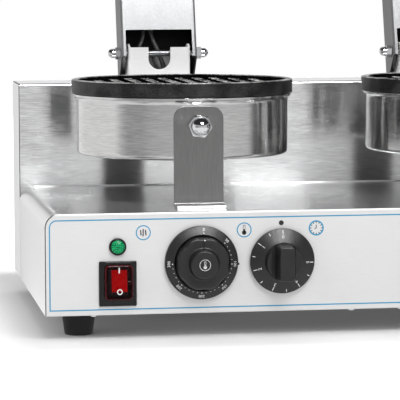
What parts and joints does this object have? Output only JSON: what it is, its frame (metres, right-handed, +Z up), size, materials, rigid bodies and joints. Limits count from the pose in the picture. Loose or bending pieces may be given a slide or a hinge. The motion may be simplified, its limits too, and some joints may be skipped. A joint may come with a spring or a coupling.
{
  "type": "double waffle maker",
  "caption": "Countertop waffle maker: round hinged irons side by side on a folded steel base, each with a lid, thermostat, timer, lamp and switch.",
  "frame": {"origin": "under the middle of the machine as it stands with both lids open, on the plane of the feet", "axes": "+Z up, +X to the user's right along the control panel, +Y from the control panel to the rear box"},
  "size_m": [0.546, 0.4646, 0.6112],
  "materials": {
    "shell_steel": "brushed stainless sheet, grain along X",
    "panel_steel": "fine satin stainless sheet with a printed blue line and symbols",
    "foot_rubber": "matte black rubber",
    "gland_plastic": "black nylon",
    "pan_steel": "spun stainless steel brushed round the wall",
    "bracket_steel": "brushed stainless sheet, grain along its length",
    "cast_plate": "dark cast iron with a coated, slightly worn face",
    "heater_sheath": "heat-tinted steel sheath",
    "chrome": "bright plated",
    "lead_sleeve": "black silicone-coated glass sleeve",
    "grip_plastic": "black phenolic",
    "knob_plastic": "fine-grained black phenolic with white marks",
    "switch_plastic": "black nylon",
    "boot_silicone": "clear, dark red silicone cap",
    "rocker_red": "translucent red",
    "lamp_green": "faceted translucent green in a black bezel",
    "inner_plastic": "off-white phenolic"
  },
  "bodies": {
    "root": {"base_shell": "shell_steel", "rear_box": "shell_steel", "rear_panel": "shell_steel", "bottom_plate": "shell_steel", "front_panel": "panel_steel", "foot_front_left": "foot_rubber", "foot_front_right": "foot_rubber", "foot_rear_left": "foot_rubber", "foot_rear_right": "foot_rubber", "cable_gland": "gland_plastic", "left_lower_pan": "pan_steel", "left_lower_plate": "cast_plate", "left_lower_heater": "heater_sheath", "left_front_strap": "bracket_steel", "left_strap_bolt": "chrome", "left_rear_support": "bracket_steel", "left_hinge_bracket": "bracket_steel", "left_hinge_pin": "chrome", "left_hinge_nut": "chrome", "left_lamp": "lamp_green", "left_switch_frame": "switch_plastic", "left_switch_boot": "boot_silicone", "left_thermostat_dial": "knob_plastic", "left_thermostat_body": "inner_plastic", "left_timer_body": "inner_plastic", "right_lower_pan": "pan_steel", "right_lower_plate": "cast_plate", "right_lower_heater": "heater_sheath", "right_front_strap": "bracket_steel", "right_strap_bolt": "chrome", "right_rear_support": "bracket_steel", "right_hinge_bracket": "bracket_steel", "right_hinge_pin": "chrome", "right_hinge_nut": "chrome", "right_lamp": "lamp_green", "right_switch_frame": "switch_plastic", "right_switch_boot": "boot_silicone", "right_thermostat_dial": "knob_plastic", "right_thermostat_body": "inner_plastic", "right_timer_body": "inner_plastic"},
    "left_lid": {"left_lid_arm": "bracket_steel", "left_upper_pan": "pan_steel", "left_upper_plate": "cast_plate", "left_upper_heater": "heater_sheath", "left_handle_stem": "bracket_steel", "left_handle_grip": "grip_plastic", "left_lead": "lead_sleeve"},
    "left_rocker": {"left_switch_rocker": "rocker_red"},
    "left_thermostat": {"left_thermostat_knob": "knob_plastic"},
    "left_timer": {"left_timer_knob": "knob_plastic"},
    "right_lid": {"right_lid_arm": "bracket_steel", "right_upper_pan": "pan_steel", "right_upper_plate": "cast_plate", "right_upper_heater": "heater_sheath", "right_handle_stem": "bracket_steel", "right_handle_grip": "grip_plastic", "right_lead": "lead_sleeve"},
    "right_rocker": {"right_switch_rocker": "rocker_red"},
    "right_thermostat": {"right_thermostat_knob": "knob_plastic"},
    "right_timer": {"right_timer_knob": "knob_plastic"}
  },
  "joints": [
    {"name": "left_lid_hinge", "type": "hinge", "parent": "root", "child": "left_lid", "pos_m": [-0.1345, 0.09223, 0.2335], "axis": [1, 0, 0], "range_deg": [0, 105]},
    {"name": "left_rocker_tilt", "type": "hinge", "parent": "root", "child": "left_rocker", "pos_m": [-0.2113, -0.19677, 0.048], "axis": [1, 0, 0], "range_deg": [0, 14]},
    {"name": "left_thermostat_turn", "type": "hinge", "parent": "root", "child": "left_thermostat", "pos_m": [-0.1395, -0.20377, 0.0647], "axis": [0, 1, 0], "range_deg": [0, 266]},
    {"name": "left_timer_turn", "type": "hinge", "parent": "root", "child": "left_timer", "pos_m": [-0.0695, -0.20377, 0.0647], "axis": [0, 1, 0], "range_deg": [0, 267]},
    {"name": "right_lid_hinge", "type": "hinge", "parent": "root", "child": "right_lid", "pos_m": [0.1345, 0.09223, 0.2335], "axis": [1, 0, 0], "range_deg": [0, 105]},
    {"name": "right_rocker_tilt", "type": "hinge", "parent": "root", "child": "right_rocker", "pos_m": [0.0577, -0.19677, 0.048], "axis": [1, 0, 0], "range_deg": [0, 14]},
    {"name": "right_thermostat_turn", "type": "hinge", "parent": "root", "child": "right_thermostat", "pos_m": [0.1295, -0.20377, 0.0647], "axis": [0, 1, 0], "range_deg": [0, 266]},
    {"name": "right_timer_turn", "type": "hinge", "parent": "root", "child": "right_timer", "pos_m": [0.1995, -0.20377, 0.0647], "axis": [0, 1, 0], "range_deg": [0, 267]}
  ]
}
